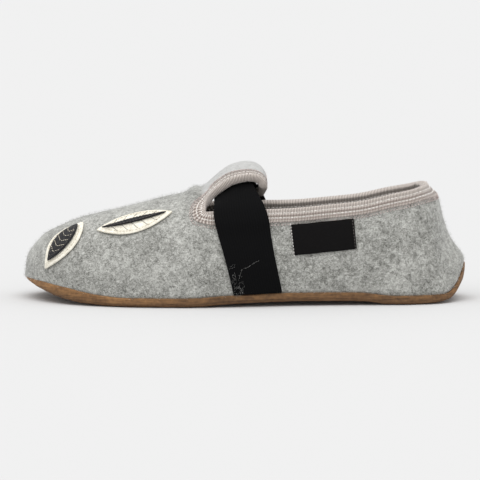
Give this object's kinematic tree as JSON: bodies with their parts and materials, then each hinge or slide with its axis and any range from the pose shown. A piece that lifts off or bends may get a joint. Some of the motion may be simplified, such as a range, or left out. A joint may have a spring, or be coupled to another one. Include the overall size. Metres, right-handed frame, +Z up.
{
  "type": "felt slipper",
  "caption": "child's left felt slipper: hollow felt upper with curled instep flap, knit tape edge, elastic strap, leaf applique and curled rubber sole",
  "frame": {"origin": "centre of the bounding box in plan, on the floor that the sole stands on", "axes": "+X runs from the toe to the heel, +Y to the inner side of the foot, +Z up"},
  "size_m": [0.2, 0.076, 0.0625],
  "materials": {
    "tan_rubber": "matte crepe",
    "footbed_felt": "matte felt",
    "grey_felt": "napped melange felt",
    "knit_tape": "ribbed knit",
    "black_elastic": "ribbed woven",
    "woven_label": "fine woven",
    "cream_felt": "matte felt",
    "black_felt": "matte felt"
  },
  "bodies": {
    "root": {"outsole": "tan_rubber", "insole": "footbed_felt", "upper": "grey_felt", "collar_binding": "knit_tape", "elastic_strap": "black_elastic", "side_label": "woven_label", "vamp_leaf": "cream_felt", "vamp_leaf_vein": "black_felt", "toe_leaf": "cream_felt", "toe_leaf_middle": "black_felt"}
  },
  "joints": []
}
